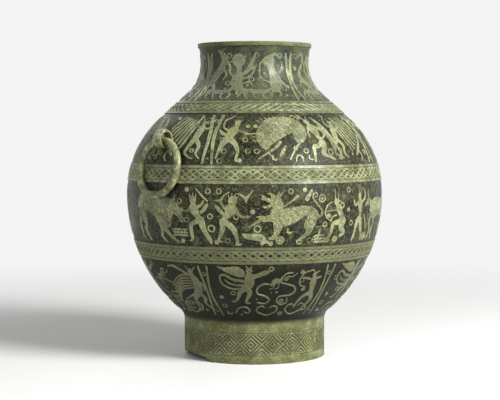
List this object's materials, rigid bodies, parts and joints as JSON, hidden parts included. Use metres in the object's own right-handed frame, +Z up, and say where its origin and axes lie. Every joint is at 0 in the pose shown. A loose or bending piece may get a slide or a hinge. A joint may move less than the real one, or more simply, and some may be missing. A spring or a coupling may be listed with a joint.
{
  "type": "bronze hu vase",
  "caption": "Pear-shaped bronze wine vessel on a ring foot, with raised braided bands, registers of figures in low relief and a loose ring in a lug on each side.",
  "frame": {"origin": "middle of the ring foot's underside", "axes": "+Z up along the vessel's axis, one ring towards -X and the other towards +X"},
  "size_m": [0.295, 0.2786, 0.34],
  "materials": {
    "patinated_bronze": "cast bronze, brown-green patina, dull sheen",
    "handled_bronze": "cast bronze, paler where it is handled, dull sheen"
  },
  "bodies": {
    "vessel": {"vase_body": "patinated_bronze"},
    "ring_left": {"left_ring": "handled_bronze"},
    "ring_right": {"right_ring": "handled_bronze"}
  },
  "joints": [
    {"name": "left_ring_swing", "type": "hinge", "parent": "vessel", "child": "ring_left", "pos_m": [-0.13195, 0, 0.2359], "axis": [0, 1, 0], "range_deg": [0, 168]},
    {"name": "right_ring_swing", "type": "hinge", "parent": "vessel", "child": "ring_right", "pos_m": [0.13195, 0, 0.2359], "axis": [0, -1, 0], "range_deg": [0, 168]}
  ]
}
